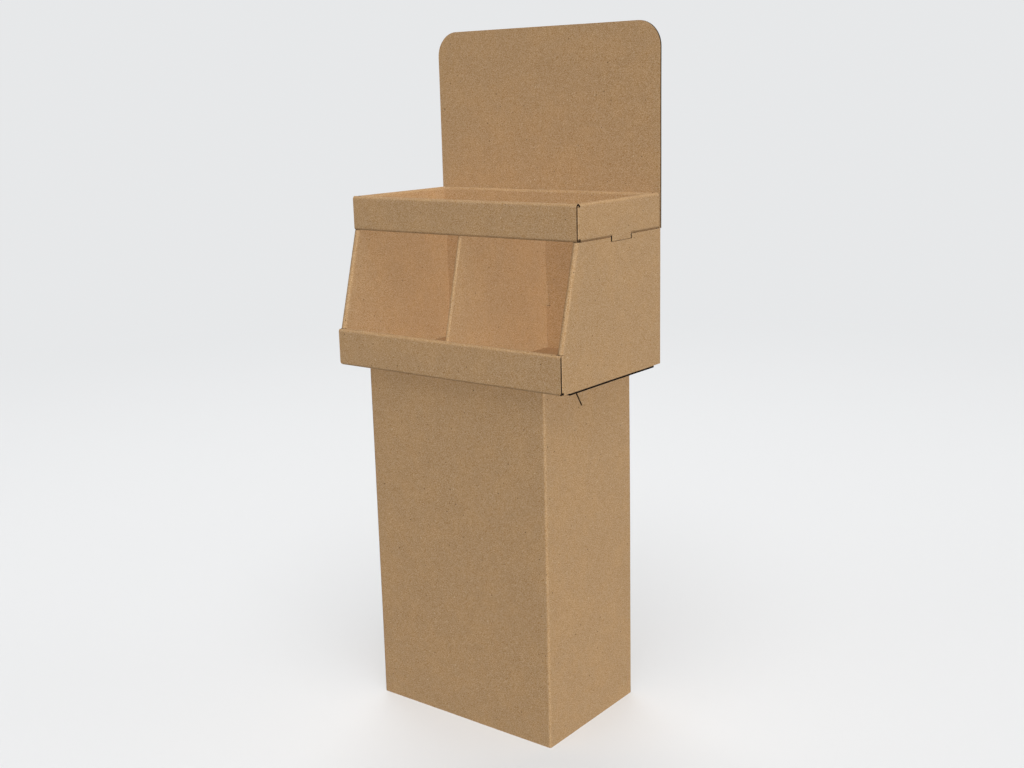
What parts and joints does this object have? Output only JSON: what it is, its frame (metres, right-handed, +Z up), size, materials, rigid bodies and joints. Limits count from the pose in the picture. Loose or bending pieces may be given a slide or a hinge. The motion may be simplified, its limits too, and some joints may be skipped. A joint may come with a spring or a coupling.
{
  "type": "tiered display stand",
  "caption": "Free-standing folded corrugated board display: tall column, slant-sided divided shelf with a front lip, open tray on top and a round-cornered header.",
  "frame": {"origin": "centre of the column's footprint on the floor", "axes": "+Z up the column, -Y towards the customer, +X to the customer's right"},
  "size_m": [0.641, 0.401, 1.6],
  "materials": {
    "kraft_board": "matt uncoated brown liner"
  },
  "bodies": {
    "root": {"base_column": "kraft_board", "column_brace_wide": "kraft_board", "column_brace_deep": "kraft_board", "support_plate": "kraft_board", "shelf_floor_and_lip": "kraft_board", "shelf_back_sides_header": "kraft_board", "shelf_lining": "kraft_board", "centre_divider": "kraft_board", "top_tray": "kraft_board"}
  },
  "joints": []
}
